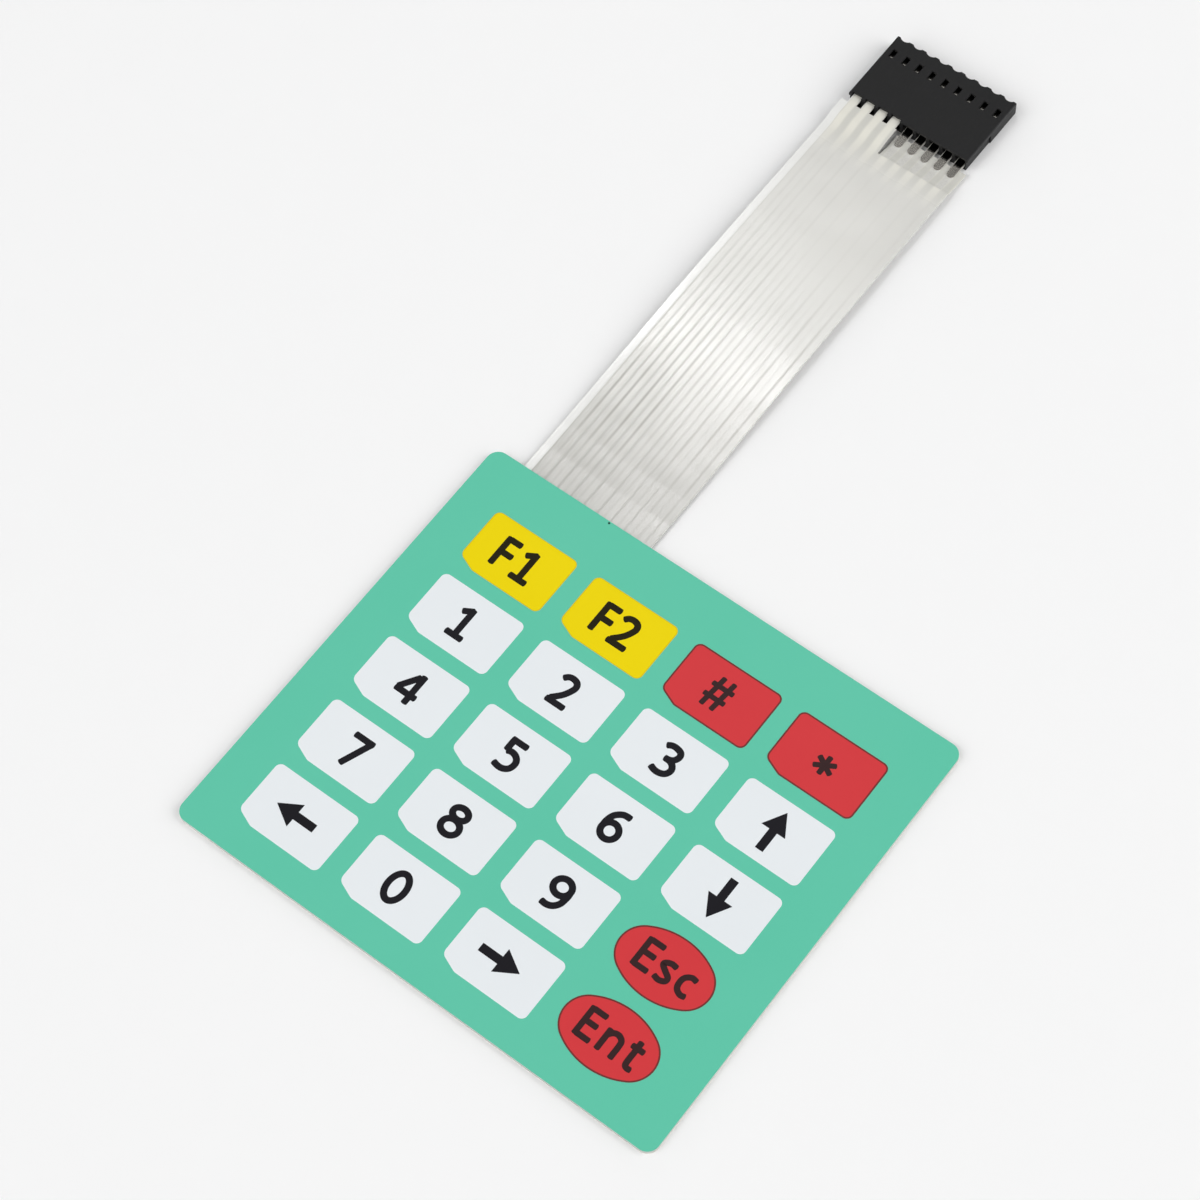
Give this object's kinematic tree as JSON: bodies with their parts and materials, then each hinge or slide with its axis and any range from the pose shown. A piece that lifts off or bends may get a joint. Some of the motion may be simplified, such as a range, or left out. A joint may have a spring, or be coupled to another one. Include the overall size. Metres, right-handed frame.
{
  "type": "membrane keypad",
  "caption": "Flat membrane keypad: printed panel with flush keys over a film switch matrix, and a flexible film tail that ends in a flat socket connector.",
  "frame": {"origin": "middle of the panel's back face, which is the underside of the release liner", "axes": "+X to the right across the keys, +Y along the tail towards the connector, +Z out of the printed face"},
  "size_m": [0.087, 0.1748, 0.0028],
  "materials": {
    "liner_paper": "smooth siliconised paper",
    "clear_adhesive": "clear adhesive film",
    "circuit_film": "milky polyester film",
    "spacer_film": "milky polyester film",
    "silver_ink": "matt silver ink",
    "overlay_film": "satin polyester film",
    "green_ink": "satin printed ink",
    "white_ink": "satin printed ink",
    "yellow_ink": "satin printed ink",
    "red_ink": "satin printed ink",
    "black_nylon": "satin moulded",
    "tinned_contact": "tin plated"
  },
  "bodies": {
    "root": {"release_liner": "liner_paper", "rear_adhesive": "clear_adhesive", "bottom_film": "circuit_film", "spacer": "spacer_film", "top_film": "circuit_film", "overlay_adhesive": "clear_adhesive", "overlay_film": "overlay_film", "background_print": "green_ink", "white_key_print": "white_ink", "yellow_key_print": "yellow_ink", "red_key_print": "red_ink", "connector_housing": "black_nylon", "column_track_1": "silver_ink", "column_track_2": "silver_ink", "column_track_3": "silver_ink", "column_track_4": "silver_ink", "row_track_1": "silver_ink", "row_track_2": "silver_ink", "row_track_3": "silver_ink", "row_track_4": "silver_ink", "row_track_5": "silver_ink", "contact_1": "tinned_contact", "contact_2": "tinned_contact", "contact_3": "tinned_contact", "contact_4": "tinned_contact", "contact_5": "tinned_contact", "contact_6": "tinned_contact", "contact_7": "tinned_contact", "contact_8": "tinned_contact", "contact_9": "tinned_contact"}
  },
  "joints": []
}
